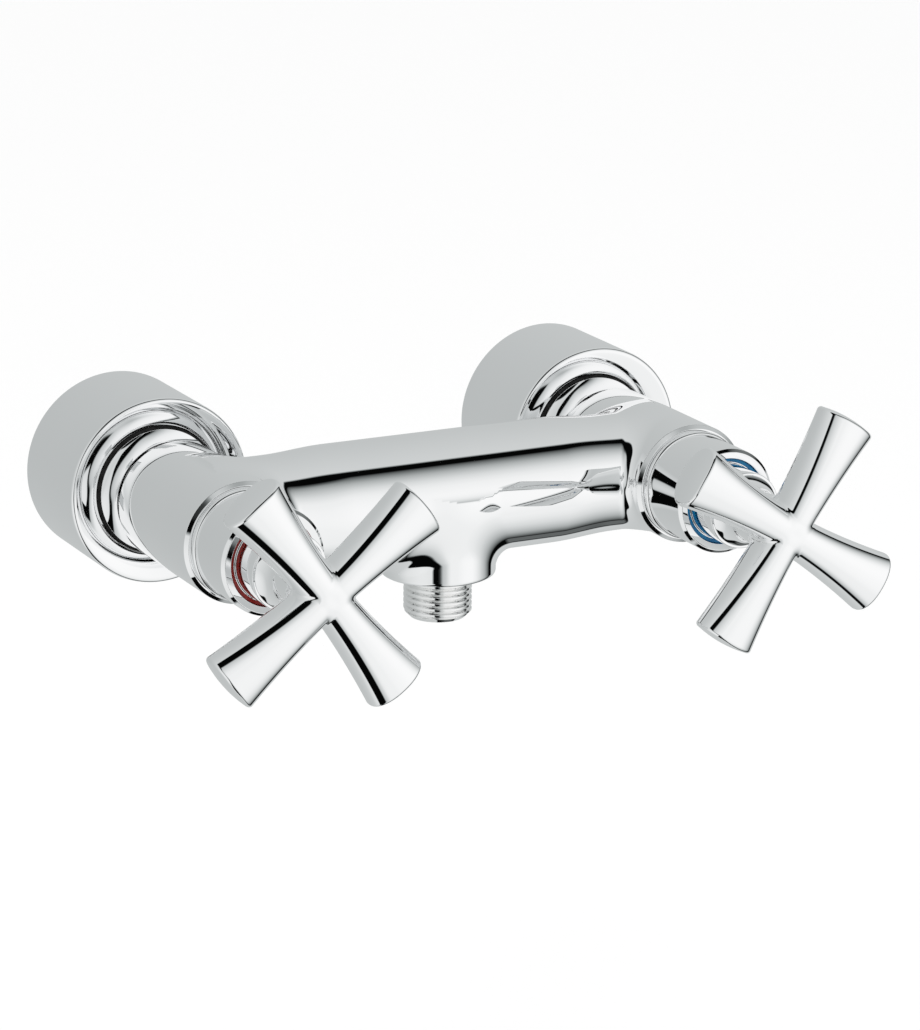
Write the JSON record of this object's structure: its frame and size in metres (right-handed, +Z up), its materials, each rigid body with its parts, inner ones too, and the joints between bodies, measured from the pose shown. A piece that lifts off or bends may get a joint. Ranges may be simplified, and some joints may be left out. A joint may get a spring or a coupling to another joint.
{
  "type": "wall-mounted shower mixer",
  "caption": "Exposed wall-mounted shower mixer: horizontal mixing tube between two branches, with cross handles, round wall flanges and a threaded outlet below.",
  "frame": {"origin": "midway between the two wall inlets, on the finished wall", "axes": "+X to the right seen from the front, +Y into the wall, +Z up; the mixing tube lies 8 mm below the origin"},
  "size_m": [0.2216, 0.1732, 0.0746],
  "materials": {
    "chrome": "bright polished chrome plating",
    "chrome_thread": "chrome plating on a cut thread, slightly duller",
    "brass_raw": "machined brass, unplated",
    "rubber_black": "moulded black rubber",
    "fibre_seal": "flat pressed seal",
    "ceramic_disc": "lapped white ceramic",
    "steel_small": "plain stainless steel",
    "index_red": "glossy red ring, hot side",
    "index_blue": "glossy blue ring, cold side"
  },
  "bodies": {
    "mixer": {"mixer_body": "chrome", "outlet_nipple": "chrome_thread", "outlet_oring": "rubber_black", "left_wall_flange": "chrome", "left_flange_ring": "rubber_black", "left_s_union": "brass_raw", "left_union_nut": "chrome", "left_union_washer": "fibre_seal", "left_union_tail": "brass_raw", "left_seat_seal": "rubber_black", "left_fixed_disc": "ceramic_disc", "left_headwork_body": "brass_raw", "left_headwork_seal": "rubber_black", "left_bell_cover": "chrome", "left_index_ring": "index_red", "right_wall_flange": "chrome", "right_flange_ring": "rubber_black", "right_s_union": "brass_raw", "right_union_nut": "chrome", "right_union_washer": "fibre_seal", "right_union_tail": "brass_raw", "right_seat_seal": "rubber_black", "right_fixed_disc": "ceramic_disc", "right_headwork_body": "brass_raw", "right_headwork_seal": "rubber_black", "right_bell_cover": "chrome", "right_index_ring": "index_blue"},
    "hot_handle": {"left_moving_disc": "ceramic_disc", "left_spindle": "brass_raw", "left_spindle_orings": "rubber_black", "left_thrust_washer": "steel_small", "left_circlip": "steel_small", "left_cross_handle": "chrome", "left_grub_screw": "steel_small"},
    "cold_handle": {"right_moving_disc": "ceramic_disc", "right_spindle": "brass_raw", "right_spindle_orings": "rubber_black", "right_thrust_washer": "steel_small", "right_circlip": "steel_small", "right_cross_handle": "chrome", "right_grub_screw": "steel_small"}
  },
  "joints": [
    {"name": "hot_handle_turn", "type": "hinge", "parent": "mixer", "child": "hot_handle", "pos_m": [-0.075, 0, -0.008], "axis": [0, -1, 0], "range_deg": [0, 90]},
    {"name": "cold_handle_turn", "type": "hinge", "parent": "mixer", "child": "cold_handle", "pos_m": [0.075, 0, -0.008], "axis": [0, -1, 0], "range_deg": [-90, 0]}
  ]
}
